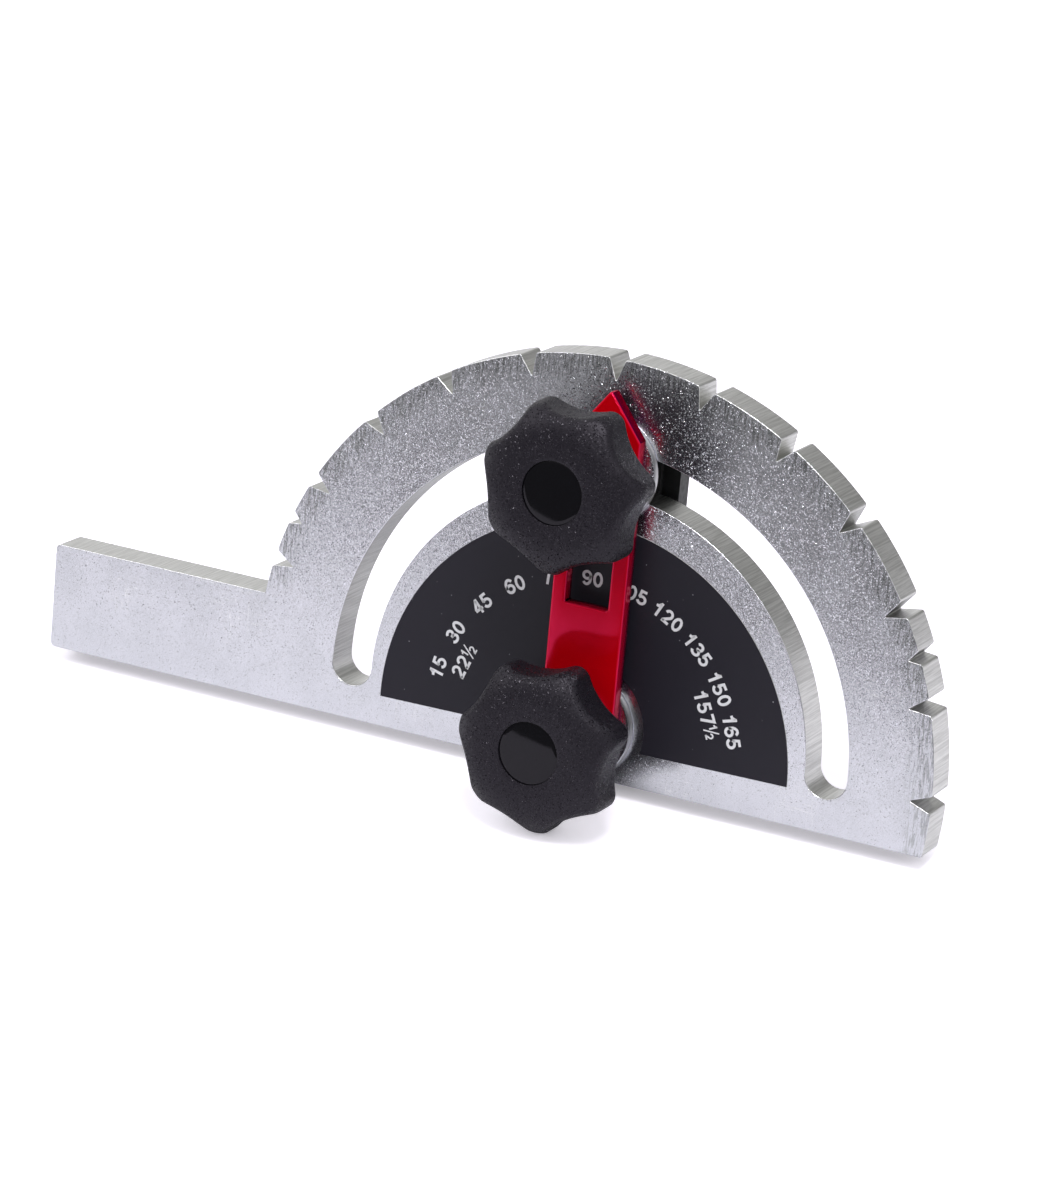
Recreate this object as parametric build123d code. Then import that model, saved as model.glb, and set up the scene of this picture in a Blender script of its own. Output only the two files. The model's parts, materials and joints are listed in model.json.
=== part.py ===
"""An angle protractor: a notched steel plate, a red pointer and two clamping star knobs.

Millimetres. X runs along the straight edge, away from the tongue. Y runs from the scale side to
the back. Z runs up the plate. The origin is on the straight bottom edge, right under the pivot,
at the middle of the plate's thickness.
"""
from build123d import *
import os
from math import atan2, cos, degrees, radians, sin, sqrt, tan

# The plate
outer_radius = 86.0
plate_thickness = 9.5
pivot_height = 12.5
tongue_reach = 142.8
tongue_height = 25.7
tongue_corner_radius = 1.2
rim_corner_cut = 0.5

# The index notches, one at each numeral and at 180
notch_step_angle = 15.0
notch_depth = 5.3
notch_width = 4.0
half_notch_angle = 22.5
half_notch_depth = 3.0
half_notch_width = 3.2

# The arc slot that the clamp screw runs in
rim_band = 25.5
slot_side_clearance = 0.39
slot_end_angle = 0.8

# The stuck-on scale, which sits a little askew
label_margin = 8.6
label_thickness = 0.15
label_drop = 4.35
label_side_shift = -0.47
label_skew_angle = 0.84
label_eye_radius = 15.3

# Screws and washers
screw_diameter = 9.525
screw_head_angle = 82.0
screw_socket_width = 5.56
screw_socket_depth = 2.6
screw_thread_grip = 12.5
spacer_diameter = 25.4
spacer_bore_diameter = 11.1
spacer_thickness = 2.1
knob_washer_diameter = 20.6
knob_washer_bore_diameter = 10.3
knob_washer_thickness = 1.6

# The pointer, which has slipped to one side in its clearance holes
pointer_width = 18.3
pointer_thickness = 3.6
pointer_nose = 19.6
pointer_point_angle = 75.0
pointer_point_offset = 0.95
pointer_hole_diameter = 11.6
pointer_side_slip = 0.8
window_width = 10.8
window_side_shift = -0.3
window_height = 12.6
window_start = 29.4
window_corner_radius = 0.5

# The pieces behind the plate
strip_width = 17.8
strip_thickness = 1.4
strip_tail = 10.5
bar_width = 26.5
bar_thickness = 5.0
bar_tail = 12.4
bar_corner_radius = 2.0

# The star knobs
knob_radius = 20.2
knob_height = 21.1
knob_lobes = 7
knob_lobe_radius = 3.2
knob_flute_depth = 3.0
knob_head_thickness = 14.2
knob_boss_diameter = 19.0
knob_under_taper = 2.4
knob_under_rise = 3.5
knob_crown_radius = 11.1
knob_shoulder_drop = 6.2
knob_shoulder_facets = 2
knob_recess_diameter = 14.7
knob_recess_depth = 1.0
knob_cap_thickness = 1.8
insert_width = 14.0
insert_length = 13.6
pivot_knob_angle = 19.5
clamp_knob_angle = 10.2

# Fits
running_clearance = 0.05
sliding_gap = 0.2
seat_clearance = 0.05

# Sizes and places that follow from those above, with Y taken towards the back
slot_radius = outer_radius - rim_band
label_radius = slot_radius - label_margin
pointer_reach = slot_radius + pointer_nose
plate_front = -plate_thickness / 2
plate_back = plate_thickness / 2
pointer_back = plate_front - sliding_gap - spacer_thickness
pointer_front = pointer_back - pointer_thickness
knob_base = pointer_front - knob_washer_thickness
strip_front = plate_back + sliding_gap
bar_front = strip_front + strip_thickness
bar_back = bar_front + bar_thickness
slot_width = screw_diameter + 2 * slot_side_clearance
knob_recess_floor = knob_height - knob_recess_depth - knob_cap_thickness


def face_plane(y):
    """A plane parallel to the plate, seen from the scale side, centred on the pivot."""
    return Plane(origin=(0, y, pivot_height), x_dir=(1, 0, 0), z_dir=(0, -1, 0))


def slab(profile, front, back):
    """A flat piece with this profile, from its front face to its back face."""
    return extrude(face_plane(back) * profile, amount=back - front)


def on_clamp_axis(shape):
    """Moves a piece from the pivot axis to the clamp screw's axis."""
    return Pos(0, 0, slot_radius) * shape


def radial_notch(angle, depth, width):
    """A V cut into the rim, pointing at the pivot."""
    rim = outer_radius + 1
    spread = width * (depth + 1) / depth / 2
    vee = Polygon((outer_radius - depth, 0), (rim, -spread), (rim, spread), align=None)
    return Rot(0, 0, angle) * vee


def plate_profile():
    above_edge = Pos(0, outer_radius - pivot_height) * Rectangle(4 * outer_radius, 2 * outer_radius)
    half_disc = Circle(outer_radius) & above_edge
    tongue = Pos(-tongue_reach, -pivot_height) * Rectangle(
        tongue_reach, tongue_height, align=(Align.MIN, Align.MIN))
    profile = half_disc + tongue
    for step in range(int(180 / notch_step_angle)):
        profile -= radial_notch(step * notch_step_angle, notch_depth, notch_width)
    for angle in (half_notch_angle, 180 - half_notch_angle):
        profile -= radial_notch(angle, half_notch_depth, half_notch_width)
    ends = [v for v in profile.vertices() if v.X < 1 - tongue_reach]
    profile = fillet(ends, tongue_corner_radius)
    on_rim = [v for v in profile.vertices() if abs(sqrt(v.X**2 + v.Y**2) - outer_radius) < 0.01]
    return chamfer(on_rim, rim_corner_cut)


def protractor_plate():
    slot = SlotArc(CenterArc((0, 0), slot_radius, slot_end_angle, 180 - 2 * slot_end_angle), slot_width)
    pivot_hole = Circle(screw_diameter / 2 + running_clearance)
    return slab(plate_profile() - slot - pivot_hole, plate_front, plate_back)


def scale_label():
    half = Circle(label_radius) & Pos(0, label_radius) * Rectangle(2 * label_radius, 2 * label_radius)
    placed = Pos(label_side_shift, -label_drop) * (Rot(0, 0, label_skew_angle) * half)
    return slab(placed - Circle(label_eye_radius), plate_front - label_thickness, plate_front)


def washer(diameter, bore, front, back):
    return slab(Circle(diameter / 2) - Circle(bore / 2), front, back)


def spacer_washer():
    return washer(spacer_diameter, spacer_bore_diameter, pointer_back, plate_front - sliding_gap)


def knob_washer():
    return washer(knob_washer_diameter, knob_washer_bore_diameter, knob_base, pointer_front)


def pointer_arm():
    half = pointer_width / 2
    slope = tan(radians(pointer_point_angle / 2))
    right_shoulder = pointer_reach - (half - pointer_point_offset) / slope
    left_shoulder = pointer_reach - (half + pointer_point_offset) / slope
    strip = Polygon(
        (-half, 0), (half, 0), (half, right_shoulder),
        (pointer_point_offset, pointer_reach), (-half, left_shoulder), align=None)
    window = Pos(window_side_shift, window_start) * RectangleRounded(
        window_width, window_height, window_corner_radius, align=(Align.CENTER, Align.MIN))
    hole = Circle(pointer_hole_diameter / 2)
    profile = strip + Circle(half) - window - hole - Pos(0, slot_radius) * hole
    return slab(Pos(pointer_side_slip, 0) * profile, pointer_front, pointer_back)


def long_strip(width, tail, corner):
    """A strip that reaches past both screws by its tail."""
    return Pos(0, slot_radius / 2) * RectangleRounded(width, slot_radius + 2 * tail, corner)


def wear_strip():
    profile = long_strip(strip_width, strip_tail, bar_corner_radius)
    hole = Circle(screw_diameter / 2 + seat_clearance)
    return slab(profile - hole - Pos(0, slot_radius) * hole, strip_front, bar_front)


def screw_profile(clearance, tip):
    """Half of a screw, as a radius against Y. Its countersunk head is as deep as the bar."""
    shank = screw_diameter / 2 + clearance
    head = shank + bar_thickness * tan(radians(screw_head_angle / 2))
    return Polygon((0, bar_back), (head, bar_back), (shank, bar_front), (shank, tip), (0, tip), align=None)


def turned(profile):
    """A piece turned about the pivot axis, from a profile in the XY plane."""
    return Pos(0, 0, pivot_height) * revolve(profile, axis=Axis.Y)


def clamping_screw():
    tip = knob_base - screw_thread_grip
    socket = slab(
        RegularPolygon(screw_socket_width / 2, 6, major_radius=False),
        bar_back - screw_socket_depth, bar_back)
    return turned(screw_profile(0, tip)) - socket


def backing_bar():
    bar = slab(long_strip(bar_width, bar_tail, bar_corner_radius), bar_front, bar_back)
    seat = turned(screw_profile(seat_clearance, strip_front))
    return bar - seat - on_clamp_axis(seat)


def polar(radius, angle):
    return radius * cos(radians(angle)), radius * sin(radians(angle))


def star_face():
    """The lobed outline of the knob, one lobe pointing along X."""
    pitch = 360 / knob_lobes
    lobe_centre = knob_radius - knob_lobe_radius
    valley = knob_radius - knob_flute_depth
    along, across = polar(lobe_centre, pitch / 2)
    # The flute's arc touches the two lobe arcs beside it
    gap = valley - along
    flute_radius = (gap**2 + across**2 - knob_lobe_radius**2) / (2 * (knob_lobe_radius - gap))
    share = knob_lobe_radius / (flute_radius + knob_lobe_radius)
    flute_x, flute_y = polar(valley + flute_radius, pitch / 2)
    touch_x = lobe_centre + share * (flute_x - lobe_centre)
    touch_y = share * flute_y
    touch_radius = sqrt(touch_x**2 + touch_y**2)
    touch_angle = degrees(atan2(touch_y, touch_x))
    edges = []
    for lobe in range(knob_lobes):
        turn = lobe * pitch
        before = polar(touch_radius, turn - touch_angle)
        after = polar(touch_radius, turn + touch_angle)
        following = polar(touch_radius, turn + pitch - touch_angle)
        edges.append(ThreePointArc(before, polar(knob_radius, turn), after))
        edges.append(ThreePointArc(after, polar(valley, turn + pitch / 2), following))
    return make_face(edges)


def upright(radius, height):
    """A round bar that stands on the knob's base."""
    return Cylinder(radius, height, align=(Align.CENTER, Align.CENTER, Align.MIN))


def insert_block():
    return extrude(RegularPolygon(insert_width / 2, 6, major_radius=False), amount=insert_length)


def knob_head():
    """The lobes, cut from a turned form that tapers underneath and rounds over to a flat crown."""
    underside = knob_height - knob_head_thickness
    outline = [
        (0, knob_height),
        (0, underside),
        (knob_radius - knob_under_taper, underside),
        (knob_radius, underside + knob_under_rise),
    ]
    for step in range(knob_shoulder_facets + 1):
        along, up = polar(1, 90 * step / knob_shoulder_facets)
        radius = knob_crown_radius + (knob_radius - knob_crown_radius) * along
        outline.append((radius, knob_height - knob_shoulder_drop * (1 - up)))
    blank = revolve(Plane.XZ * make_face(Polyline(*outline, close=True)), axis=Axis.Z)
    return blank & extrude(star_face(), amount=knob_height)


def star_knob():
    boss = upright(knob_boss_diameter / 2, knob_height / 2)
    recess = Pos(0, 0, knob_recess_floor) * upright(knob_recess_diameter / 2, knob_height)
    return knob_head() + boss - recess - insert_block()


def knob_insert():
    return insert_block() - upright(screw_diameter / 2 + running_clearance, insert_length)


def knob_cap():
    """The smooth round cap, let into the knob's face."""
    disc = upright(knob_recess_diameter / 2 - seat_clearance, knob_cap_thickness)
    return Pos(0, 0, knob_recess_floor) * disc


def on_knob_seat(shape, angle):
    """Stands a knob piece, modelled upright, on its washer and turns its lobes."""
    return face_plane(knob_base) * (Rot(0, 0, angle) * shape)


pieces = {
    "protractor_plate": protractor_plate(),
    "scale_label": scale_label(),
    "pointer_arm": pointer_arm(),
    "wear_strip": wear_strip(),
    "backing_bar": backing_bar(),
    "pivot_screw": clamping_screw(),
    "clamp_screw": on_clamp_axis(clamping_screw()),
    "pivot_spacer_washer": spacer_washer(),
    "clamp_spacer_washer": on_clamp_axis(spacer_washer()),
    "pivot_knob_washer": knob_washer(),
    "clamp_knob_washer": on_clamp_axis(knob_washer()),
    "pivot_knob": on_knob_seat(star_knob(), pivot_knob_angle),
    "clamp_knob": on_clamp_axis(on_knob_seat(star_knob(), clamp_knob_angle)),
    "pivot_knob_insert": on_knob_seat(knob_insert(), pivot_knob_angle),
    "clamp_knob_insert": on_clamp_axis(on_knob_seat(knob_insert(), clamp_knob_angle)),
    "pivot_knob_cap": on_knob_seat(knob_cap(), pivot_knob_angle),
    "clamp_knob_cap": on_clamp_axis(on_knob_seat(knob_cap(), clamp_knob_angle)),
}

os.makedirs("parts", exist_ok=True)
for name, piece in pieces.items():
    export_step(piece, f"parts/{name}.step")
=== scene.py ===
import json
from math import asin, atan2, cos, degrees, pi, radians, sin, sqrt, tan

import bmesh
import bpy
from mathutils import Matrix, Vector


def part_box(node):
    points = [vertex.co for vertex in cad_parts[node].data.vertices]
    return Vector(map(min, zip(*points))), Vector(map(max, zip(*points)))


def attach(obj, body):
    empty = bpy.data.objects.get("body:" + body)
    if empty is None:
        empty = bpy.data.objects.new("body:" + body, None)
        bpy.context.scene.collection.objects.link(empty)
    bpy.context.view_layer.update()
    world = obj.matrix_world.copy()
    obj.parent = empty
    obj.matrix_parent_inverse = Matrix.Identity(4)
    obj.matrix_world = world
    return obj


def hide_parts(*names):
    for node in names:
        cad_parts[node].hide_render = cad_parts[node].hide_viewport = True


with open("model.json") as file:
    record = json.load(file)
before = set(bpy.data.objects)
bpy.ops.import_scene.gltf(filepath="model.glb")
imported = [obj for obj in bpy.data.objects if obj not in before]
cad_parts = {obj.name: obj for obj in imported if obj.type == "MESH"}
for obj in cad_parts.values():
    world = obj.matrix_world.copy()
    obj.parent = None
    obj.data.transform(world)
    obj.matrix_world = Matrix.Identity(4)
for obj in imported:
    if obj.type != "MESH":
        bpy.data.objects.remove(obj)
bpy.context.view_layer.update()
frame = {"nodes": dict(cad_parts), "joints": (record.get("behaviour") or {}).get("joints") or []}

# Sizes in metres, as in the frame
mm = 0.001
rim_radius = 86.0 * mm
tongue_reach = 142.8 * mm
tongue_height = 25.7 * mm
tongue_corner = 1.2 * mm
tongue_root = 0.3 * mm
notch_corner = 0.75 * mm
notch_root = 0.12 * mm
notch_step = 15.0
full_notch = (5.3 * mm, 4.0 * mm)
half_notch = (3.0 * mm, 3.2 * mm)
half_notch_angle = 22.5
slot_width = 10.305 * mm
slot_end_angle = 0.8
screw_hole_radius = 4.8125 * mm
plate_edge = 0.2 * mm

label_centre = Vector((-0.47, -4.35)) * mm
label_radius = 51.9 * mm
label_skew = 0.84
label_eye_radius = 15.3 * mm
label_edge = 0.03 * mm
numeral_radius = 38.7 * mm
half_numeral_radius = 33.4 * mm
numeral_height = 3.6 * mm
ink_thickness = 0.02 * mm

# Shares of a numeral's height
figure_width = 0.50
figure_stroke = 0.185
figure_gap = 0.09
small_figure = 0.58

pointer_slip = 0.8 * mm
pointer_point_angle = 75.0
pointer_point_offset = 0.95 * mm
pointer_corner = 0.7 * mm
pointer_edge = 0.6 * mm
pointer_hole_radius = 5.8 * mm
window_shift = -0.3 * mm
window_width = 10.8 * mm
window_height = 12.6 * mm
window_start = 29.4 * mm
window_corner = 0.5 * mm

spacer_washer_bore = 5.55 * mm
spacer_washer_edge = 0.5 * mm
knob_washer_bore = 5.15 * mm
knob_washer_edge = 0.35 * mm

knob_lobes = 7
knob_lobe_radius = 3.2 * mm
knob_flute_depth = 3.0 * mm
knob_radius = 20.2 * mm
knob_height = 21.1 * mm
knob_head_thickness = 14.2 * mm
knob_crown_radius = 11.1 * mm
knob_shoulder_drop = 6.2 * mm
knob_under_taper = 2.4 * mm
knob_under_rise = 3.5 * mm
knob_lip = 1.4 * mm
knob_boss_radius = 9.5 * mm
knob_boss_edge = 0.4 * mm
knob_neck = 1.2 * mm
knob_recess_radius = 7.35 * mm
knob_recess_depth = 0.03 * mm
knob_recess_edge = 0.08 * mm
knob_recess_floor = 1.5 * mm
cap_crown = 0.3 * mm
cap_thickness = 1.3 * mm
pivot_knob_angle = 19.5
clamp_knob_angle = 10.2


def joint_place(name):
    return Vector(next(joint for joint in frame["joints"] if joint["name"] == name)["pos_m"])


pivot = joint_place("pivot_knob_turn")
clamp = joint_place("clamp_knob_turn")
slot_radius = (clamp - pivot).length
plate_low, plate_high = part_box("protractor_plate")
pointer_low, pointer_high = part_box("pointer_arm")


# Outlines, as points in the plate's plane measured from the pivot


def polar(radius, angle):
    return Vector((radius * cos(radians(angle)), radius * sin(radians(angle))))


def arc(radius, start, end, step=1.2):
    """Points along an arc about the pivot, without its two ends. The step is in degrees."""
    count = max(2, round(abs(end - start) / step))
    return [polar(radius, start + (end - start) * i / count) for i in range(1, count)]


def circle(radius, centre=Vector((0, 0)), count=96):
    return [centre + polar(radius, 360 * i / count) for i in range(count)]


def rounded(corners, steps=4):
    """Rounds the corners that carry a radius, in a closed outline of points or (point, radius)."""
    corners = [c if isinstance(c, tuple) else (c, 0) for c in corners]
    points = []
    for i, (here, radius) in enumerate(corners):
        if not radius:
            points.append(here)
            continue
        before = (corners[i - 1][0] - here).normalized()
        after = (corners[(i + 1) % len(corners)][0] - here).normalized()
        half = before.angle(after) / 2
        centre = here + (before + after).normalized() * radius / sin(half)
        start = here + before * radius / tan(half) - centre
        sweep = pi - 2 * half
        if before.x * after.y - before.y * after.x > 0:
            sweep = -sweep
        for step in range(steps + 1):
            turn = Matrix.Rotation(sweep * step / steps, 2)
            points.append(centre + turn @ start)
    return points


def plate_outline():
    """Round the notched rim from the far end of the base edge, then round the tongue."""
    base = -degrees(asin(pivot.z / rim_radius))
    shoulder = 180 - degrees(asin((tongue_height - pivot.z) / rim_radius))
    marks = [(step * notch_step, full_notch) for step in range(12)]
    marks += [(half_notch_angle, half_notch), (180 - half_notch_angle, half_notch)]
    corners = [(polar(rim_radius, base), notch_corner)]
    at = base
    for angle, (depth, width) in sorted(marks):
        half = degrees(width / 2 / rim_radius)
        corners += arc(rim_radius, at, angle - half)
        corners.append((polar(rim_radius, angle - half), notch_corner))
        corners.append((polar(rim_radius - depth, angle), notch_root))
        corners.append((polar(rim_radius, angle + half), notch_corner))
        at = angle + half
    corners += arc(rim_radius, at, shoulder)
    corners.append((polar(rim_radius, shoulder), tongue_root))
    corners.append((Vector((-tongue_reach, tongue_height - pivot.z)), tongue_corner))
    corners.append((Vector((-tongue_reach, -pivot.z)), tongue_corner))
    return rounded(corners)


def slot_outline():
    """The arc slot, with a round end at each side."""
    half = slot_width / 2
    first, last = slot_end_angle, 180 - slot_end_angle
    outline = [polar(slot_radius + half, first)] + arc(slot_radius + half, first, last)
    outline += [polar(slot_radius, last) + polar(half, last + 180 * i / 16) for i in range(16)]
    outline += [polar(slot_radius - half, last)] + arc(slot_radius - half, last, first)
    outline += [polar(slot_radius, first) + polar(half, first + 180 + 180 * i / 16) for i in range(16)]
    return outline


def label_outline():
    """A half disc with an eye cut out of its straight edge for the pivot washer."""
    turned = [polar(label_radius, label_skew + 180 * i / 120) + label_centre for i in range(121)]
    along = polar(1, label_skew)
    across = Vector((-along.y, along.x))
    drop = label_centre.dot(across)
    reach = sqrt(label_eye_radius**2 - drop**2)
    left, right = across * drop - along * reach, across * drop + along * reach
    start, end = (degrees(atan2(p.y, p.x)) % 360 for p in (left, right))
    eye = [left] + arc(label_eye_radius, start, end - 360 if end > start else end, 4) + [right]
    return turned + eye


def pointer_outline():
    """A flat bar with a blunt point above and a round tail below."""
    half = (pointer_high.x - pointer_low.x) / 2
    reach = pointer_high.z - pivot.z
    slope = tan(radians(pointer_point_angle / 2))
    corners = [
        (Vector((half, reach - (half - pointer_point_offset) / slope)), pointer_corner),
        (Vector((pointer_point_offset, reach)), pointer_corner),
        (Vector((-half, reach - (half + pointer_point_offset) / slope)), pointer_corner),
    ]
    tail = [polar(half, 180 + 180 * i / 40) for i in range(41)]
    return [p + Vector((pointer_slip, 0)) for p in rounded(corners + tail)]


def window_outline():
    """The reading window between the two knobs."""
    left = pointer_slip + window_shift - window_width / 2
    right = left + window_width
    low, high = window_start, window_start + window_height
    corners = ((left, low), (right, low), (right, high), (left, high))
    return rounded([(Vector(corner), window_corner) for corner in corners])


# Meshes


def band(bm, lower, upper):
    """Faces between two closed rows of vertices."""
    for i, vert in enumerate(lower):
        j = (i + 1) % len(lower)
        bm.faces.new((vert, lower[j], upper[j], upper[i]))


def inset(outline, amount):
    """Moves a closed outline towards its left by an amount, with mitred corners."""
    moved = []
    for i, here in enumerate(outline):
        along_in = (here - outline[i - 1]).normalized()
        along_out = (outline[(i + 1) % len(outline)] - here).normalized()
        left_in = Vector((-along_in.y, along_in.x))
        left_out = Vector((-along_out.y, along_out.x))
        moved.append(here + (left_in + left_out) * amount / (1 + left_in.dot(left_out)))
    return moved


def flat_mesh(outline, holes, front, back, edge):
    """A flat piece with softly rounded edges. The outline runs anticlockwise."""
    bm = bmesh.new()
    turns = [radians(t) for t in (0, 22.5, 45, 67.5, 90)]
    steps = [(edge * (1 - sin(t)), front + edge * (1 - cos(t))) for t in turns]
    steps += [(edge * (1 - sin(t)), back - edge * (1 - cos(t))) for t in turns[::-1]]
    rims = []
    for loop in [outline] + [hole[::-1] for hole in holes]:
        rows = []
        for amount, y in steps:
            rows.append([bm.verts.new((pivot.x + p.x, y, pivot.z + p.y)) for p in inset(loop, amount)])
        for lower, upper in zip(rows, rows[1:]):
            band(bm, upper, lower)
        rims.append((rows[0], rows[-1]))
    for side in (0, 1):
        edges = []
        for rim in rims:
            row = rim[side]
            edges += [bm.edges.get((row[i - 1], row[i])) for i in range(len(row))]
        bmesh.ops.triangle_fill(bm, edges=edges, use_beauty=True, normal=(0, 1 if side else -1, 0))
    return bm


def turned_mesh(column, centre, columns=96, angle=0.0):
    """Stands columns of (height towards the viewer, radius) round an axis along Y.

    The column is one list for a round piece, or a function of the angle for a lobed one.
    """
    bm = bmesh.new()
    stood = []
    for i in range(columns):
        turn = 2 * pi * i / columns
        there = turn + radians(angle)
        points = column(turn) if callable(column) else column
        made = []
        for j, (height, radius) in enumerate(points):
            if radius == 0 and stood:
                made.append(stood[0][j])
                continue
            made.append(bm.verts.new((
                centre.x + radius * cos(there), centre.y - height, centre.z + radius * sin(there))))
        stood.append(made)
    for i, here in enumerate(stood):
        beside = stood[(i + 1) % columns]
        rows = range(len(here) if here[0] is not beside[0] else len(here) - 1)
        for j in rows:
            k = (j + 1) % len(here)
            corners = dict.fromkeys((here[j], beside[j], beside[k], here[k]))
            if len(corners) > 2:
                bm.faces.new(corners)
    return bm


def piece(name, bm, body, material, replaced=None, smooth=25):
    """Makes the mesh an object that rides on a body and stands for a CAD node."""
    bmesh.ops.recalc_face_normals(bm, faces=bm.faces[:])
    mesh = bpy.data.meshes.new(name)
    bm.to_mesh(mesh)
    bm.free()
    mesh.shade_smooth()
    mesh.set_sharp_from_angle(angle=radians(smooth))
    mesh.materials.append(material)
    made = bpy.data.objects.new(name, mesh)
    bpy.context.scene.collection.objects.link(made)
    made.modifiers.new("flat_faces", "WEIGHTED_NORMAL").keep_sharp = True
    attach(made, body)
    if replaced:
        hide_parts(replaced)
    return made


# Shader building


def node(tree, kind, values=None, **settings):
    """Adds a shader node. A value is either a number or the output that feeds the socket."""
    made = tree.nodes.new("ShaderNode" + kind)
    for key, value in settings.items():
        setattr(made, key, value)
    for key, value in (values or {}).items():
        if isinstance(value, bpy.types.NodeSocket):
            tree.links.new(value, made.inputs[key])
        else:
            made.inputs[key].default_value = value
    return made


def math(tree, operation, first, second=0.0):
    return node(tree, "Math", {0: first, 1: second}, operation=operation).outputs[0]


def fade(tree, value, low, high, to_low=0.0, to_high=1.0):
    """Spreads a value between two limits onto a new range, smoothly and clamped."""
    limits = {"Value": value, "From Min": low, "From Max": high, "To Min": to_low, "To Max": to_high}
    return node(tree, "MapRange", limits, interpolation_type="SMOOTHSTEP").outputs["Result"]


def mix_colour(tree, share, first, second):
    """Goes from the first colour to the second as the share rises.

    A colour is an output or three plain numbers.
    """
    made = node(tree, "Mix", {0: share}, data_type="RGBA")
    for socket, colour in ((made.inputs[6], first), (made.inputs[7], second)):
        if isinstance(colour, bpy.types.NodeSocket):
            tree.links.new(colour, socket)
        else:
            socket.default_value = (*colour, 1)
    return made.outputs[2]


def own_place(tree):
    """The piece's own coordinates, in metres."""
    return node(tree, "TexCoord").outputs["Object"]


def stretched(tree, scale):
    """The piece's own coordinates, scaled along each axis."""
    return node(tree, "Mapping", {"Vector": own_place(tree), "Scale": scale}).outputs[0]


def effect(name, inputs, outputs):
    """A new node group. Gives its tree and its input and output sockets."""
    tree = bpy.data.node_groups.new(name, "ShaderNodeTree")
    for label, value in inputs.items():
        socket = tree.interface.new_socket(label, in_out="INPUT", socket_type="NodeSocketFloat")
        socket.default_value = value
    for label in outputs:
        kind = "NodeSocketVector" if label == "Normal" else "NodeSocketFloat"
        tree.interface.new_socket(label, in_out="OUTPUT", socket_type=kind)
    return tree, tree.nodes.new("NodeGroupInput").outputs, tree.nodes.new("NodeGroupOutput").inputs


def placed(tree, group, **values):
    """Places an effect in a material with its own values."""
    named = {label.capitalize(): value for label, value in values.items()}
    return node(tree, "Group", named, node_tree=group).outputs


def noise(tree, vector, scale, detail=3.0, roughness=0.55):
    values = {"Vector": vector, "Scale": scale, "Detail": detail, "Roughness": roughness}
    return node(tree, "TexNoise", values).outputs["Fac"]


def spangle_effect():
    """A grain of small facets that each lean their own way, a few of them strongly.

    Mask is each facet's own shade, Points marks the strong ones, and Mottle is a broad cloudiness.
    """
    tree, given, result = effect("spangle", {"Scale": 5000.0, "Tilt": 0.2, "Wild": 0.6},
                                 ["Mask", "Points", "Mottle", "Normal"])
    coordinates = own_place(tree)
    cells = node(tree, "TexVoronoi", {"Vector": coordinates, "Scale": given["Scale"]})
    tone = node(tree, "SeparateColor", {0: cells.outputs["Color"]}).outputs
    points = math(tree, "POWER", tone[0], 4.0)
    lean = math(tree, "ADD", given["Tilt"], math(tree, "MULTIPLY", points, given["Wild"]))
    aside = node(tree, "VectorMath", {0: cells.outputs["Color"], 1: (0.5, 0.5, 0.5)}, operation="SUBTRACT")
    aside = node(tree, "VectorMath", {0: aside.outputs[0], "Scale": lean}, operation="SCALE")
    upright = node(tree, "NewGeometry").outputs["Normal"]
    leaning = node(tree, "VectorMath", {0: upright, 1: aside.outputs[0]})
    normal = node(tree, "VectorMath", {0: leaning.outputs[0]}, operation="NORMALIZE")
    broad = noise(tree, coordinates, math(tree, "MULTIPLY", given["Scale"], 0.02), 4.0, 0.6)
    tree.links.new(tone[1], result["Mask"])
    tree.links.new(points, result["Points"])
    tree.links.new(fade(tree, broad, 0.35, 0.65), result["Mottle"])
    tree.links.new(normal.outputs[0], result["Normal"])
    return tree


def deburring_effect():
    """Short upright grinding marks just inside the notched rim.

    Mask is how near the rim a place lies, Rim the same on the rim's own face and not on the tongue.
    """
    tree, given, result = effect("deburring", {"Radius": rim_radius, "Height": pivot.z, "Width": 5.0 * mm},
                                 ["Mask", "Rim", "Marks"])
    coordinates = own_place(tree)
    place = node(tree, "SeparateXYZ", {0: coordinates})
    up_from_pivot = math(tree, "SUBTRACT", place.outputs["Z"], given["Height"])
    reach = math(tree, "SQRT", math(tree, "ADD", math(tree, "POWER", place.outputs["X"], 2.0),
                                    math(tree, "POWER", up_from_pivot, 2.0)))
    inner = math(tree, "SUBTRACT", given["Radius"], given["Width"])
    ragged = math(tree, "MULTIPLY", noise(tree, coordinates, 300.0, 2.0), given["Width"])
    near = fade(tree, math(tree, "ADD", reach, ragged), inner, given["Radius"])
    upright = noise(tree, stretched(tree, (1, 1, 0.12)), 2400.0, 2.0)
    within = fade(tree, reach, rim_radius + 0.3 * mm, rim_radius + 0.8 * mm, 1.0, 0.0)
    above_tongue = fade(tree, place.outputs["Z"], tongue_height - 0.2 * mm, tongue_height + 4.3 * mm)
    beside_tongue = fade(tree, place.outputs["X"], -20.0 * mm, 0.0)
    off_tongue = math(tree, "MAXIMUM", above_tongue, beside_tongue)
    tree.links.new(near, result["Mask"])
    tree.links.new(math(tree, "MULTIPLY", near, math(tree, "MULTIPLY", within, off_tongue)), result["Rim"])
    tree.links.new(upright, result["Marks"])
    return tree


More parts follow.
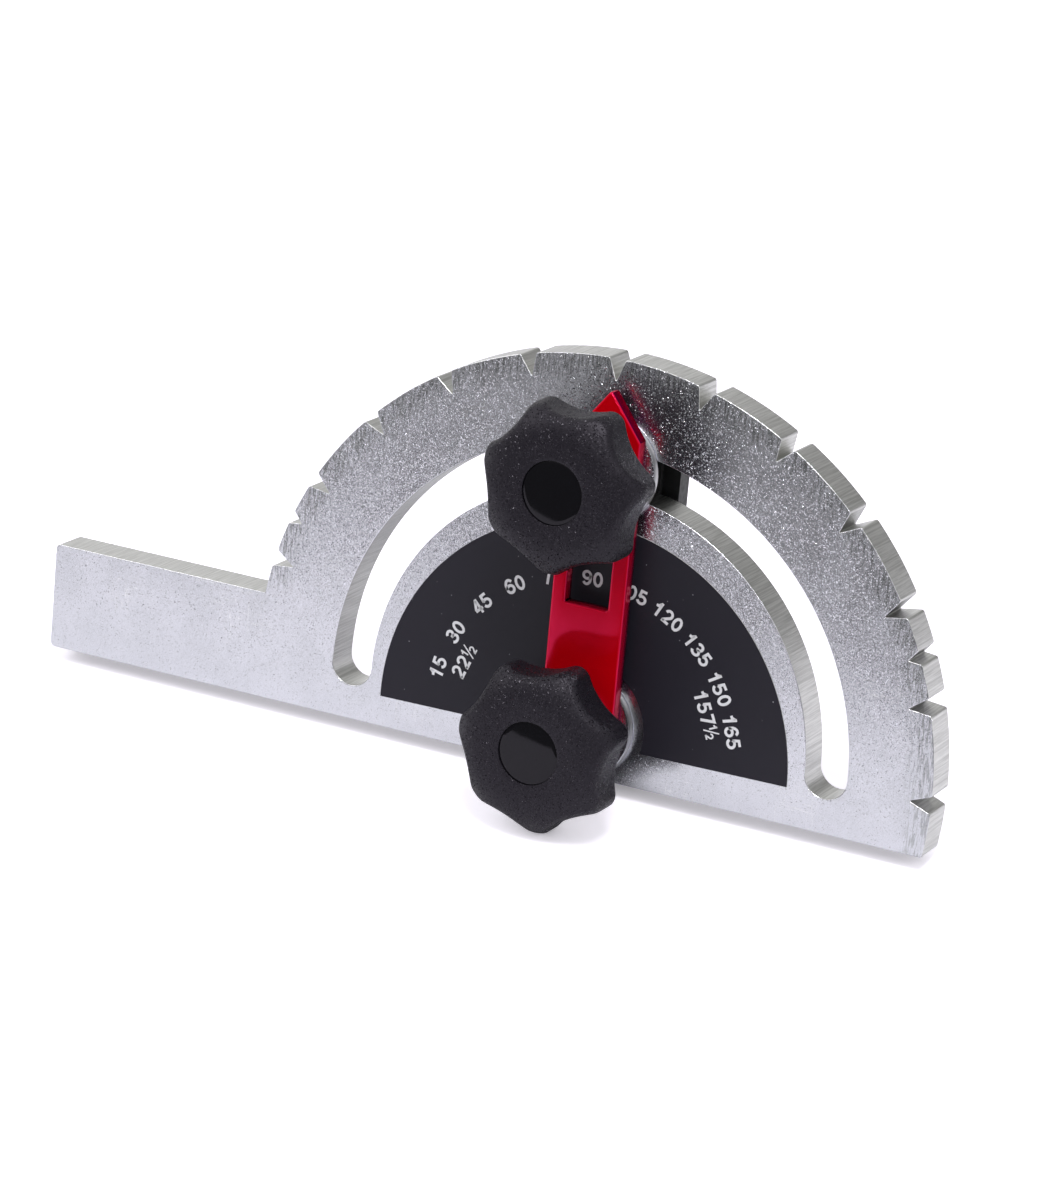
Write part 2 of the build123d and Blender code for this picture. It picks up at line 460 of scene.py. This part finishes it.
def scratch_effect():
    """Thin straight scratches in two directions, in patches."""
    tree, given, result = effect("scratches", {"Scale": 60.0, "Amount": 0.5}, ["Mask"])
    coordinates = own_place(tree)
    sets = []
    for stretch, turn, offset in (((1, 1, 0.03), 0.5, 0.0), ((0.04, 1, 1), 0.9, 3.7)):
        turned = node(tree, "Mapping", {
            "Vector": coordinates, "Scale": stretch,
            "Rotation": (0, turn, 0), "Location": (offset, 0, offset)})
        lines = noise(tree, turned.outputs[0], math(tree, "MULTIPLY", given["Scale"], 22.0), 1.0)
        off_line = math(tree, "ABSOLUTE", math(tree, "SUBTRACT", lines, 0.5))
        patches = noise(tree, coordinates, given["Scale"], 2.0)
        thin_line_and_painted_shade = fade(tree, off_line, 0.0, 0.012, 1.0, 0.0)
        sets.append(math(tree, "MULTIPLY", thin_line_and_painted_shade, fade(tree, patches, 0.55, 0.7)))
    both = math(tree, "MAXIMUM", sets[0], sets[1])
    tree.links.new(math(tree, "MULTIPLY", both, given["Amount"]), result["Mask"])
    return tree


def cut_mark_effect():
    """The fine lines that a cutter leaves on an edge, running front to back or else round the piece."""
    tree, given, result = effect("cut_marks", {"Scale": 2100.0, "Around": 0.0}, ["Mask"])
    drawn_out = 0.02
    swap = math(tree, "MULTIPLY", given["Around"], 1.0 - drawn_out)
    along = math(tree, "SUBTRACT", 1.0, swap)
    deep = math(tree, "ADD", drawn_out, swap)
    scale = node(tree, "CombineXYZ", {0: along, 1: deep, 2: along}).outputs[0]
    lines = noise(tree, stretched(tree, scale), given["Scale"], 4.0, 0.75)
    tree.links.new(fade(tree, lines, 0.32, 0.68), result["Mask"])
    return tree


def cut_edge_effect():
    """Finds the cut edges of a flat piece, a painted highlight line where they meet its front, and its
    back.
    """
    tree, given, result = effect("cut_edge", {"Limit": 0.5}, ["Mask", "Painted_Highlight", "Back"])
    coordinates = node(tree, "TexCoord").outputs
    normal = node(tree, "SeparateXYZ", {0: coordinates["Normal"]}).outputs
    facing = math(tree, "ABSOLUTE", normal["Y"])
    tree.links.new(math(tree, "LESS_THAN", facing, given["Limit"]), result["Mask"])
    # Painted highlight: a broken bright line on the upward rounded edge between the front and the cut edges
    turning = math(tree, "MULTIPLY", fade(tree, normal["Y"], -0.96, -0.85),
                   fade(tree, normal["Y"], -0.6, -0.4, 1.0, 0.0))
    broken = fade(tree, noise(tree, coordinates["Object"], 500.0, 3.0), 0.5, 0.57)
    upward = math(tree, "MULTIPLY", fade(tree, normal["Z"], 0.0, 0.3), broken)
    tree.links.new(math(tree, "MULTIPLY", turning, upward), result["Painted_Highlight"])
    tree.links.new(fade(tree, normal["Y"], 0.4, 0.6), result["Back"])
    return tree


def dust_effect():
    """Scattered specks of lint and dust, each a small dot of its own size."""
    tree, given, result = effect("dust", {"Scale": 260.0, "Amount": 0.1}, ["Mask"])
    coordinates = own_place(tree)
    cells = node(tree, "TexVoronoi", {"Vector": coordinates, "Scale": given["Scale"]})
    tone = node(tree, "SeparateColor", {0: cells.outputs["Color"]})
    size = math(tree, "MULTIPLY", math(tree, "POWER", tone.outputs[0], 6.0), given["Amount"])
    near = math(tree, "LESS_THAN", cells.outputs["Distance"], size)
    tree.links.new(math(tree, "MULTIPLY", near, fade(tree, tone.outputs[1], 0.0, 1.0)), result["Mask"])
    return tree


def moulded_grain_effect():
    """The fine leathery grain of a moulding, with a few bright points."""
    tree, given, result = effect("moulded_grain", {"Scale": 1500.0}, ["Height", "Points"])
    grain = noise(tree, own_place(tree), given["Scale"], 3.0, 0.65)
    tree.links.new(grain, result["Height"])
    tree.links.new(fade(tree, grain, 0.62, 0.72), result["Points"])
    return tree


spangle = spangle_effect()
deburring = deburring_effect()
scratches = scratch_effect()
cut_marks = cut_mark_effect()
cut_edge = cut_edge_effect()
dust = dust_effect()
moulded_grain = moulded_grain_effect()


def finish(name, **values):
    """A new material with a Principled shader. Gives the material, its tree and the shader."""
    made = bpy.data.materials.new(name)
    made.use_nodes = True
    tree = made.node_tree
    shader = next(n for n in tree.nodes if n.type == "BSDF_PRINCIPLED")
    for label, value in values.items():
        shader.inputs[label.replace("_", " ")].default_value = value
    return made, tree, shader


def bump(tree, height, strength, distance, onto=None):
    values = {"Height": height, "Strength": strength, "Distance": distance}
    if onto:
        values["Normal"] = onto
    return node(tree, "Bump", values).outputs["Normal"]


def zinc_finish(name, bright, dull, tilt, deburred=0.0, around=0.0, walls_dark=(0.52, 0.52, 0.50),
                walls_bright=(0.80, 0.80, 0.78)):
    """Bright zinc: a sparkling grain that is coarser higher up the face, and a few scratches.

    The cut edges are plainer and lined, with a painted highlight where they meet the front, and painted
    shade underneath.
    """
    made, tree, shader = finish(name, Metallic=1.0)
    lines = placed(tree, cut_marks, around=around)["Mask"]
    edges = placed(tree, cut_edge)
    walls = edges["Mask"]
    face_only = math(tree, "SUBTRACT", 1.0, walls)
    up_the_face = node(tree, "SeparateXYZ", {0: own_place(tree)}).outputs["Z"]
    coarser = math(tree, "MULTIPLY", face_only, fade(tree, up_the_face, 22.0 * mm, 75.0 * mm, 0.3, 1.15))
    grain = placed(tree, spangle, tilt=math(tree, "MULTIPLY", coarser, tilt),
                   wild=math(tree, "MULTIPLY", coarser, 11.5 * tilt))
    scratched = placed(tree, scratches, amount=0.8)["Mask"]
    rim = placed(tree, deburring)
    face = mix_colour(tree, grain["Mask"], dull, bright)
    face = mix_colour(tree, math(tree, "MULTIPLY", grain["Mottle"], 0.12), face, (0.72, 0.76, 0.80))
    # Painted shade: the face turns darker and greyer towards its bottom edge
    face = mix_colour(tree, fade(tree, up_the_face, 0.0, 45.0 * mm, 0.6, 0.0), face, (0.68, 0.69, 0.73))
    face = mix_colour(tree, scratched, face, (0.95, 0.95, 0.95))
    marked = math(tree, "MULTIPLY", rim["Rim"], math(tree, "MULTIPLY", face_only, deburred))
    brushed = math(tree, "MULTIPLY", marked, fade(tree, rim["Marks"], 0.46, 0.58))
    face = mix_colour(tree, math(tree, "MULTIPLY", brushed, 0.85), face, (0.38, 0.39, 0.39))
    wall = mix_colour(tree, lines, walls_dark, walls_bright)
    underneath = node(tree, "SeparateXYZ", {0: node(tree, "TexCoord").outputs["Normal"]}).outputs["Z"]
    body = mix_colour(tree, walls, face, wall)
    # Painted shade: faces that look down are darkened towards near black
    body = mix_colour(tree, fade(tree, underneath, -0.6, -0.2, 0.65, 0.0), body, (0.08, 0.08, 0.09))
    # Painted highlight: near the notched rim the upward front edges turn white and less metallic
    glint_and_wear = math(tree, "MULTIPLY", edges["Painted_Highlight"], rim["Mask"])
    tree.links.new(mix_colour(tree, glint_and_wear, body, (1, 1, 1)), shader.inputs["Base Color"])
    metal = math(tree, "SUBTRACT", 1.0, math(tree, "MULTIPLY", glint_and_wear, 0.7))
    tree.links.new(metal, shader.inputs["Metallic"])
    rough = fade(tree, grain["Mottle"], 0.0, 1.0, 0.22, 0.26)
    rough = math(tree, "ADD", rough, math(tree, "MULTIPLY", walls, 0.06))
    tree.links.new(rough, shader.inputs["Roughness"])
    height = math(tree, "ADD", math(tree, "MULTIPLY", rim["Marks"], marked),
                  math(tree, "MULTIPLY", lines, walls))
    tree.links.new(bump(tree, height, 1.0, 0.02 * mm, grain["Normal"]), shader.inputs["Normal"])
    return made


def label_film():
    """Matt black printed film with a pale core that shows at its cut edge."""
    made, tree, shader = finish("label_film", Roughness=0.5, Specular_IOR_Level=0.3)
    specks = placed(tree, dust, scale=500.0, amount=0.09)["Mask"]
    walls = placed(tree, cut_edge)["Mask"]
    film = mix_colour(tree, math(tree, "MULTIPLY", specks, 0.7), (0.013, 0.0115, 0.019), (0.5, 0.5, 0.55))
    tree.links.new(mix_colour(tree, walls, film, (0.45, 0.45, 0.44)), shader.inputs["Base Color"])
    grain = placed(tree, moulded_grain, scale=2500.0)
    tree.links.new(bump(tree, grain["Height"], 0.15, 0.02 * mm), shader.inputs["Normal"])
    return made


def label_ink():
    """White printing ink, a little uneven."""
    made, tree, shader = finish("label_ink", Roughness=0.5)
    grain = placed(tree, moulded_grain, scale=3000.0)
    tree.links.new(mix_colour(tree, grain["Height"], (0.62, 0.62, 0.66), (0.82, 0.82, 0.85)),
                   shader.inputs["Base Color"])
    return made


def red_enamel():
    """Glossy red paint that mirrors in red, with painted shade on its cut edges.

    Painted shade also darkens the slope right of the point, and the faces and edges towards the back.
    """
    made, tree, shader = finish("red_enamel", Roughness=0.12, IOR=2.0, Specular_IOR_Level=1.0,
                                Specular_Tint=(1.0, 0.045, 0.2, 1))
    ripple = noise(tree, own_place(tree), 120.0, 2.0)
    edges = placed(tree, cut_edge, limit=0.7)
    paint = mix_colour(tree, ripple, (0.56, 0.0, 0.003), (0.64, 0.0, 0.006))
    # Painted shade: the cut edges are a darker red
    paint = mix_colour(tree, edges["Mask"], paint, (0.38, 0.0, 0.018))
    right_slope = (0.79, 0, 0.61)
    normal = node(tree, "TexCoord").outputs["Normal"]
    along = node(tree, "VectorMath", {0: normal, 1: right_slope}, operation="DOT_PRODUCT")
    slanted = fade(tree, along.outputs["Value"], 0.8, 0.96)
    depth = node(tree, "SeparateXYZ", {0: own_place(tree)}).outputs["Y"]
    behind = fade(tree, depth, pointer_low.y + 1.2 * mm, pointer_high.y, 0.0, 0.75)
    # Painted shade: the right slope of the point, the back faces and the edges towards the back go dark and
    # metallic
    thin_line_and_painted_shade = math(tree, "MAXIMUM", slanted, math(tree, "MAXIMUM", edges["Back"], behind))
    tree.links.new(mix_colour(tree, thin_line_and_painted_shade, paint, (0.085, 0.004, 0.045)), shader.inputs["Base Color"])
    tree.links.new(thin_line_and_painted_shade, shader.inputs["Metallic"])
    tree.links.new(bump(tree, ripple, 0.05, 0.2 * mm), shader.inputs["Normal"])
    return made


def knob_plastic():
    """Black moulded plastic with a leathery grain, bright points and a little dust."""
    made, tree, shader = finish("knob_plastic", Specular_IOR_Level=0.36, Specular_Tint=(0.93, 0.87, 1.0, 1))
    leather = placed(tree, moulded_grain, scale=2300.0)
    grain = placed(tree, spangle, scale=4000.0, tilt=0.04, wild=2.2)
    specks = placed(tree, dust, scale=450.0, amount=0.08)["Mask"]
    body = mix_colour(tree, leather["Points"], (0.006, 0.005, 0.008), (0.02, 0.018, 0.024))
    tree.links.new(mix_colour(tree, math(tree, "MULTIPLY", specks, 0.4), body, (0.4, 0.4, 0.42)),
                   shader.inputs["Base Color"])
    tree.links.new(fade(tree, grain["Points"], 0.15, 0.7, 0.42, 0.11), shader.inputs["Roughness"])
    tree.links.new(bump(tree, leather["Height"], 1.0, 0.05 * mm, grain["Normal"]), shader.inputs["Normal"])
    return made


def cap_plastic():
    """Glossy black plastic with a faint ripple and a little dust."""
    made, tree, shader = finish("cap_plastic", Base_Color=(0.003, 0.003, 0.004, 1), Roughness=0.06,
                                Specular_IOR_Level=0.3, Specular_Tint=(0.95, 0.9, 1.0, 1))
    ripple = noise(tree, own_place(tree), 160.0, 1.0)
    tree.links.new(bump(tree, ripple, 0.15, 0.3 * mm), shader.inputs["Normal"])
    specks = placed(tree, dust, scale=500.0, amount=0.12)["Mask"]
    tree.links.new(fade(tree, specks, 0.0, 1.0, 0.06, 0.7), shader.inputs["Roughness"])
    return made


def black_finish(name, tone, roughness, worn):
    """Satin black on steel, with a fine grain and pale rubbed points."""
    made, tree, shader = finish(name, Specular_IOR_Level=0.45)
    grain = placed(tree, moulded_grain, scale=900.0)
    glint_and_wear = placed(tree, scratches, scale=90.0, amount=worn)["Mask"]
    tree.links.new(mix_colour(tree, glint_and_wear, tone, (0.25, 0.25, 0.26)), shader.inputs["Base Color"])
    tree.links.new(fade(tree, grain["Height"], 0.3, 0.7, roughness - 0.08, roughness + 0.08),
                   shader.inputs["Roughness"])
    tree.links.new(bump(tree, grain["Height"], 0.25, 0.05 * mm), shader.inputs["Normal"])
    return made


def brass():
    """Turned brass with its tool lines."""
    made, tree, shader = finish("brass", Metallic=1.0, Roughness=0.3)
    lines = placed(tree, cut_marks, scale=600.0)["Mask"]
    tree.links.new(mix_colour(tree, lines, (0.52, 0.38, 0.15), (0.7, 0.54, 0.25)),
                   shader.inputs["Base Color"])
    return made


zinc_plate = zinc_finish("zinc_plate", (0.81, 0.81, 0.87), (0.78, 0.78, 0.83), tilt=0.05, deburred=0.8)
zinc_washer = zinc_finish("zinc_washer", (0.80, 0.80, 0.84), (0.60, 0.60, 0.64), tilt=0.06, around=1.0,
                          walls_dark=(0.30, 0.30, 0.31), walls_bright=(0.62, 0.62, 0.63))
film = label_film()
ink = label_ink()
enamel = red_enamel()
plastic = knob_plastic()
gloss_black = cap_plastic()
bar_black = black_finish("bar_paint", (0.012, 0.012, 0.013), 0.42, 0.5)
screw_black = black_finish("black_oxide", (0.02, 0.02, 0.021), 0.38, 0.7)
strip_black = black_finish("strip_fibre", (0.02, 0.02, 0.021), 0.7, 0.1)
insert_brass = brass()


# The plate, its scale and the pointer
plate_holes = [slot_outline(), circle(screw_hole_radius)]
piece("notched_plate", flat_mesh(plate_outline(), plate_holes, plate_low.y, plate_high.y, plate_edge),
      "plate_body", zinc_plate, "protractor_plate")

label_low, label_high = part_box("scale_label")
piece("printed_scale", flat_mesh(label_outline(), [], label_low.y, label_high.y, label_edge),
      "plate_body", film, "scale_label")

pointer_holes = [window_outline()]
for height in (0, slot_radius):
    pointer_holes.append(circle(pointer_hole_radius, Vector((pointer_slip, height)), 64))
pointer = flat_mesh(pointer_outline(), pointer_holes, pointer_low.y, pointer_high.y, pointer_edge)
piece("red_pointer", pointer, "arm_body", enamel, "pointer_arm")


def sweep(centre, reach, start, end):
    """Points along an elliptical stroke, in the figure's own box."""
    count = 14
    turns = [radians(start + (end - start) * i / count) for i in range(count + 1)]
    return [(centre[0] + reach[0] * cos(t), centre[1] + reach[1] * sin(t)) for t in turns]


def half_turned(strokes):
    return [[(1 - x, 1 - y) for x, y in stroke] for stroke in strokes]


# Each figure is drawn as strokes whose middle lines fill a box of one by one
six = [sweep((0.5, 0.28), (0.5, 0.29), 0, 360), sweep((0.53, 0.55), (0.53, 0.45), 38, 180) + [(0.0, 0.28)]]
figures = {
    "0": [sweep((0.5, 0.5), (0.5, 0.5), 0, 360)],
    "1": [[(0.62, -0.11), (0.62, 1.11)], [(-0.02, 0.69), (0.3, 0.73), (0.56, 0.98)]],
    "2": [sweep((0.5, 0.7), (0.48, 0.3), 170, -38) + [(0.04, 0.02)], [(-0.06, 0), (1.06, 0)]],
    "3": [sweep((0.47, 0.76), (0.44, 0.24), 160, -90) + sweep((0.47, 0.25), (0.52, 0.25), 90, -165)],
    "4": [[(0.74, -0.11), (0.74, 1.11)], [(-0.1, 0.25), (1.12, 0.25)], [(0.68, 1.0), (0.0, 0.3)]],
    "5": [[(0.94, 1), (0.18, 1), (0.08, 0.48)], sweep((0.46, 0.3), (0.53, 0.3), 145, -165)],
    "6": six,
    "7": [[(-0.06, 1), (1.0, 1), (0.34, -0.11)]],
    "9": half_turned(six),
}


def ribbon(bm, path, width):
    """A flat stroke of even width along a path."""
    closed = (path[0] - path[-1]).length < 1e-9
    path = path[:-1] if closed else path
    sides = []
    for i, here in enumerate(path):
        ahead = path[(i + 1) % len(path)] - here if closed or i + 1 < len(path) else here - path[i - 1]
        behind = here - path[i - 1] if closed or i else ahead
        ahead, behind = ahead.normalized(), behind.normalized()
        left = Vector((-ahead.y - behind.y, ahead.x + behind.x)) / (1 + ahead.dot(behind))
        sides.append([bm.verts.new((*(here + left * width / 2 * side), 0)) for side in (-1, 1)])
    for i in range(len(sides) if closed else len(sides) - 1):
        here, after = sides[i], sides[(i + 1) % len(sides)]
        bm.faces.new((here[0], after[0], after[1], here[1]))


def draw_figure(bm, figure, left, foot, height):
    """Draws one figure and gives the place where the next one starts."""
    width, stroke = figure_width * height, figure_stroke * height
    for path in figures[figure]:
        points = [Vector((left + (stroke / 2 + x * width), foot + stroke / 2 + y * (height - stroke)))
                  for x, y in path]
        ribbon(bm, points, stroke)
    return left + width + stroke + figure_gap * height


def numeral(words, angle, radius):
    """White figures on the scale, their feet towards the pivot."""
    bm = bmesh.new()
    height = numeral_height
    at = 0
    for figure in words:
        if figure == "½":
            small = small_figure * height
            draw_figure(bm, "1", at - 0.05 * height, height - small, small)
            bar = [Vector((at + 0.16 * height, 0)), Vector((at + 0.62 * height, height))]
            ribbon(bm, bar, 0.09 * height)
            at = draw_figure(bm, "2", at + 0.46 * height, 0, small)
        else:
            at = draw_figure(bm, figure, at, 0, height)
    middle = Vector(((at - figure_gap * height) / 2, height / 2, 0))
    place = label_centre + polar(radius, 180 - angle + label_skew)
    lean = radians(90 - angle + label_skew)
    stand = Matrix.Translation((pivot.x + place.x, label_low.y - ink_thickness, pivot.z + place.y))
    stand = stand @ Matrix.Rotation(-lean, 4, "Y") @ Matrix.Rotation(pi / 2, 4, "X")
    bmesh.ops.transform(bm, matrix=stand @ Matrix.Translation(-middle), verts=bm.verts[:])
    return bm


for label_angle in range(15, 180, 15):
    piece(f"numeral_{label_angle}", numeral(str(label_angle), label_angle, numeral_radius),
          "plate_body", ink)
for label_angle, words in ((22.5, "22½"), (157.5, "157½")):
    piece(f"numeral_{label_angle:.0f}_half", numeral(words, label_angle, half_numeral_radius),
          "plate_body", ink)


# Washers, knobs and caps


def washer_column(name, bore, edge):
    """A stamped washer: rounded on its front edge, sharper behind."""
    low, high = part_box(name)
    rim = (high.x - low.x) / 2
    thickness = high.y - low.y
    soft = edge * (1 - sqrt(0.5))
    back_edge = 0.15 * mm
    bore_edge = 0.1 * mm
    return [
        (0, bore + bore_edge), (bore_edge, bore), (thickness - edge, bore), (thickness - soft, bore + soft),
        (thickness, bore + edge), (thickness, rim - edge), (thickness - soft, rim - soft),
        (thickness - edge, rim), (back_edge, rim), (0, rim - back_edge)]


def washer_piece(name, centre, bore, edge, body):
    foot = Vector((centre.x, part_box(name)[1].y, centre.z))
    piece(name + "_stamped", turned_mesh(washer_column(name, bore, edge), foot),
          body, zinc_washer, name)


def star(turn):
    """How far the lobed outline reaches at this angle, with a lobe at angle zero."""
    pitch = 2 * pi / knob_lobes
    lobe_centre = knob_radius - knob_lobe_radius
    valley = knob_radius - knob_flute_depth
    along, across = lobe_centre * cos(pitch / 2), lobe_centre * sin(pitch / 2)
    gap = valley - along
    flute_radius = (gap**2 + across**2 - knob_lobe_radius**2) / (2 * (knob_lobe_radius - gap))
    flute_centre = valley + flute_radius
    share = knob_lobe_radius / (flute_radius + knob_lobe_radius)
    touch_x = lobe_centre + share * (flute_centre * cos(pitch / 2) - lobe_centre)
    touch_y = share * flute_centre * sin(pitch / 2)
    off_lobe = (turn + pitch / 2) % pitch - pitch / 2
    if abs(off_lobe) < atan2(touch_y, touch_x):
        return lobe_centre * cos(off_lobe) + sqrt(knob_lobe_radius**2 - (lobe_centre * sin(off_lobe)) ** 2)
    off_flute = pitch / 2 - abs(off_lobe)
    return flute_centre * cos(off_flute) - sqrt(flute_radius**2 - (flute_centre * sin(off_flute)) ** 2)


def dome(radius):
    """The height of the knob's turned front at a radius: a flat crown that falls away in an ellipse."""
    out = max(0, radius - knob_crown_radius) / (knob_radius - knob_crown_radius)
    return knob_height - knob_shoulder_drop * (1 - sqrt(max(0, 1 - out * out)))


def knob_column(turn):
    """The knob's surface in one direction, from the foot of its boss over the head into the recess."""
    inside_box = 0.002 * mm
    reach = star(turn) - inside_box
    underside = knob_height - knob_head_thickness
    boss, edge, neck = knob_boss_radius, knob_boss_edge, knob_neck
    points = [(0, 0), (0, boss - edge), (0.3 * edge, boss - 0.3 * edge), (edge, boss),
              (underside - neck, boss)]
    points += [(underside - neck * (1 - sin(t)), boss + neck * (1 - cos(t))) for t in (0.5, 1.0)]
    points += [(underside, boss + 1.6 * neck), (underside, reach - knob_under_taper - 0.9 * mm)]
    for share in (0.04, 0.14, 0.3, 0.5, 0.7, 0.86, 0.96, 1.0):
        lean_in = knob_under_taper * (1 - share) ** 1.6
        points.append((underside + knob_under_rise * share**0.8, reach - lean_in))
    wall_top = dome(reach) - knob_lip
    points.append(((underside + knob_under_rise + wall_top) / 2, reach))
    for t in range(0, 91, 10):
        radius = reach - knob_lip * (1 - cos(radians(t)))
        points.append((dome(radius) - knob_lip * (1 - sin(radians(t))), radius))
    lip = points[-1][1]
    rim = knob_recess_radius + knob_recess_edge
    for share in (0.85, 0.7, 0.55, 0.4, 0.25, 0.1):
        radius = rim + (lip - rim) * share
        points.append((dome(radius), radius))
    points += [(knob_height, rim), (knob_height - 0.02 * mm, rim - 0.05 * mm),
               (knob_height - knob_recess_edge, knob_recess_radius)]
    floor = knob_height - knob_recess_depth - knob_recess_floor
    return points + [(floor, knob_recess_radius), (floor, 0)]


def cap_column():
    """The smooth cap, from its foot to its middle, a little domed."""
    clearance = 0.02 * mm
    radius = knob_recess_radius - clearance
    rim = knob_height - knob_recess_depth - cap_crown
    points = [(rim - cap_thickness, 0), (rim - cap_thickness, radius), (rim - 0.1 * mm, radius),
              (rim - 0.03 * mm, radius - 0.03 * mm)]
    for step in range(8, 0, -1):
        share = step / 8
        points.append((rim + cap_crown * (1 - share**2), (radius - 0.1 * mm) * share))
    return points + [(rim + cap_crown, 0)]


for end, centre, angle in (("pivot", pivot, pivot_knob_angle), ("clamp", clamp, clamp_knob_angle)):
    washer_piece(end + "_spacer_washer", centre, spacer_washer_bore, spacer_washer_edge, "arm_body")
    washer_piece(end + "_knob_washer", centre, knob_washer_bore, knob_washer_edge, end + "_washer_body")
    foot = Vector((centre.x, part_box(end + "_knob")[1].y, centre.z))
    piece(end + "_star_knob", turned_mesh(knob_column, foot, 336, angle),
          end + "_knob_body", plastic, end + "_knob", smooth=50)
    piece(end + "_gloss_cap", turned_mesh(cap_column(), foot),
          end + "_knob_body", gloss_black, end + "_knob_cap", smooth=40)


# CAD nodes that keep their own shape
for name, material in (
    ("backing_bar", bar_black), ("wear_strip", strip_black),
    ("pivot_screw", screw_black), ("clamp_screw", screw_black),
    ("pivot_knob_insert", insert_brass), ("clamp_knob_insert", insert_brass),
):
    mesh = frame["nodes"][name].data
    mesh.materials.clear()
    mesh.materials.append(material)


# The stage: the tool leans back on its lower knob and the foot of its bar, so the floor is tilted to match
lean = radians(11.07)
up = Vector((0, -sin(lean), cos(lean)))
table_front = 0.245
table_back = 1.2
table_side = 0.9
camera_place = (0.41401, -0.92352, 0.34021)
camera_turn = radians(25.188)
camera_dip = radians(-16.57)
camera_roll = radians(5.239)
camera_lens = 138.92


def floor_sweep():
    """A pale floor that glows a little for the camera, less so where something stands close over it, which
    paints a contact shadow there.

    From below, the camera looks through it.
    """
    made = bpy.data.materials.new("floor_sweep")
    made.use_nodes = True
    tree = made.node_tree
    tree.nodes.clear()
    light = node(tree, "LightPath").outputs
    cloth = node(tree, "BsdfDiffuse", {"Color": (0.84, 0.83, 0.88, 1)})
    bright = node(tree, "BsdfDiffuse", {"Color": (0.86, 0.83, 0.92, 1)})
    open_sky = node(tree, "AmbientOcclusion", {"Distance": 12.0 * mm}, samples=8).outputs["AO"]
    # Painted contact shadow: the camera-seen glow dims where something stands close above the floor
    strength = fade(tree, open_sky, 0.0, 0.35, 0.15, 0.56)
    glow = node(tree, "Emission", {"Color": (0.97, 0.95, 1.0, 1), "Strength": strength})
    seen = node(tree, "AddShader", {0: bright.outputs[0], 1: glow.outputs[0]})
    lit = node(tree, "MixShader", {0: light["Is Camera Ray"], 1: cloth.outputs[0], 2: seen.outputs[0]})
    behind = node(tree, "NewGeometry").outputs["Backfacing"]
    hidden = math(tree, "MULTIPLY", behind, light["Is Camera Ray"])
    clear = node(tree, "BsdfTransparent")
    surface = node(tree, "MixShader", {0: hidden, 1: lit.outputs[0], 2: clear.outputs[0]})
    end = node(tree, "OutputMaterial")
    tree.links.new(surface.outputs[0], end.inputs["Surface"])
    return made


def make_floor():
    """A pale table top that ends in front of the tool, square to the camera's line of sight."""
    rest = min(up.dot(vert.co) for made in frame["nodes"].values() for vert in made.data.vertices)
    bm = bmesh.new()
    corners = ((-table_side, -table_front), (table_side, -table_front),
               (table_side, table_back), (-table_side, table_back))
    bm.faces.new([bm.verts.new((x, y, 0)) for x, y in corners])
    place = Matrix.Translation(up * rest) @ Matrix.Rotation(lean, 4, "X")
    place = place @ Matrix.Rotation(camera_turn, 4, "Z")
    bmesh.ops.transform(bm, matrix=place, verts=bm.verts[:])
    mesh = bpy.data.meshes.new("floor")
    bm.to_mesh(mesh)
    bm.free()
    floor = bpy.data.objects.new("floor", mesh)
    bpy.context.scene.collection.objects.link(floor)
    mesh.materials.append(floor_sweep())


def toward(tree, way, direction, near, far):
    """How far a direction in the room lies towards a given one, faded between two cosines."""
    facing = node(tree, "VectorMath", {0: way, 1: Vector(direction).normalized()}, operation="DOT_PRODUCT")
    return fade(tree, facing.outputs["Value"], near, far)


# How strongly the room shines, in general and from its dark side
room_light = 0.80
dark_light = 0.17


def make_world():
    """A pale room, dark in front of the table and greyer behind it on the right."""
    world = bpy.data.worlds.new("pale_room")
    bpy.context.scene.world = world
    world.use_nodes = True
    tree = world.node_tree
    tree.nodes.clear()
    way = node(tree, "TexCoord").outputs["Generated"]
    height = node(tree, "VectorMath", {0: way, 1: up}, operation="DOT_PRODUCT").outputs["Value"]
    low = fade(tree, height, 0.1, 0.6, 1.0, 0.0)
    dark_front = math(tree, "MULTIPLY", toward(tree, way, (-0.2, -1, 0), 0.1, 0.7), low)
    grey_back = math(tree, "MULTIPLY", toward(tree, way, (0.55, 0.8, 0.2), 0.4, 0.95), 0.6)
    strength = math(tree, "MULTIPLY", fade(tree, dark_front, 0.0, 1.0, room_light, dark_light),
                    math(tree, "SUBTRACT", 1.0, grey_back))
    light = node(tree, "LightPath").outputs
    seen = math(tree, "MAXIMUM", strength, light["Is Camera Ray"])
    glow = node(tree, "Background", {"Color": (1, 1, 1, 1), "Strength": seen})
    end = node(tree, "OutputWorld")
    tree.links.new(glow.outputs[0], end.inputs["Surface"])


def add_lamp(name, place, size, power):
    """A round lamp that looks at the middle between the two knobs."""
    data = bpy.data.lights.new(name, "AREA")
    data.shape = "DISK"
    data.size = size
    data.energy = power
    lamp = bpy.data.objects.new(name, data)
    lamp.location = place
    lamp.rotation_mode = "QUATERNION"
    lamp.rotation_quaternion = (Vector(place) - (pivot + clamp) / 2).to_track_quat("Z", "Y")
    bpy.context.scene.collection.objects.link(lamp)


def add_camera():
    data = bpy.data.cameras.new("studio_camera")
    data.lens = camera_lens
    data.sensor_width = 36.0
    camera = bpy.data.objects.new("studio_camera", data)
    camera.matrix_world = (
        Matrix.Translation(camera_place) @ Matrix.Rotation(camera_turn, 4, "Z")
        @ Matrix.Rotation(pi / 2 + camera_dip, 4, "X") @ Matrix.Rotation(camera_roll, 4, "Z"))
    bpy.context.scene.collection.objects.link(camera)
    bpy.context.scene.camera = camera


make_floor()
make_world()
add_lamp("softbox_top", (0.22, -0.42, 0.80), 0.30, 4.0)
add_lamp("softbox_left", (-0.60, -0.45, 0.55), 0.5, 1.2)
add_lamp("spot_front", (0.20, -0.85, 0.31), 0.05, 0.3)
add_camera()
bpy.context.scene.view_settings.view_transform = "Standard"
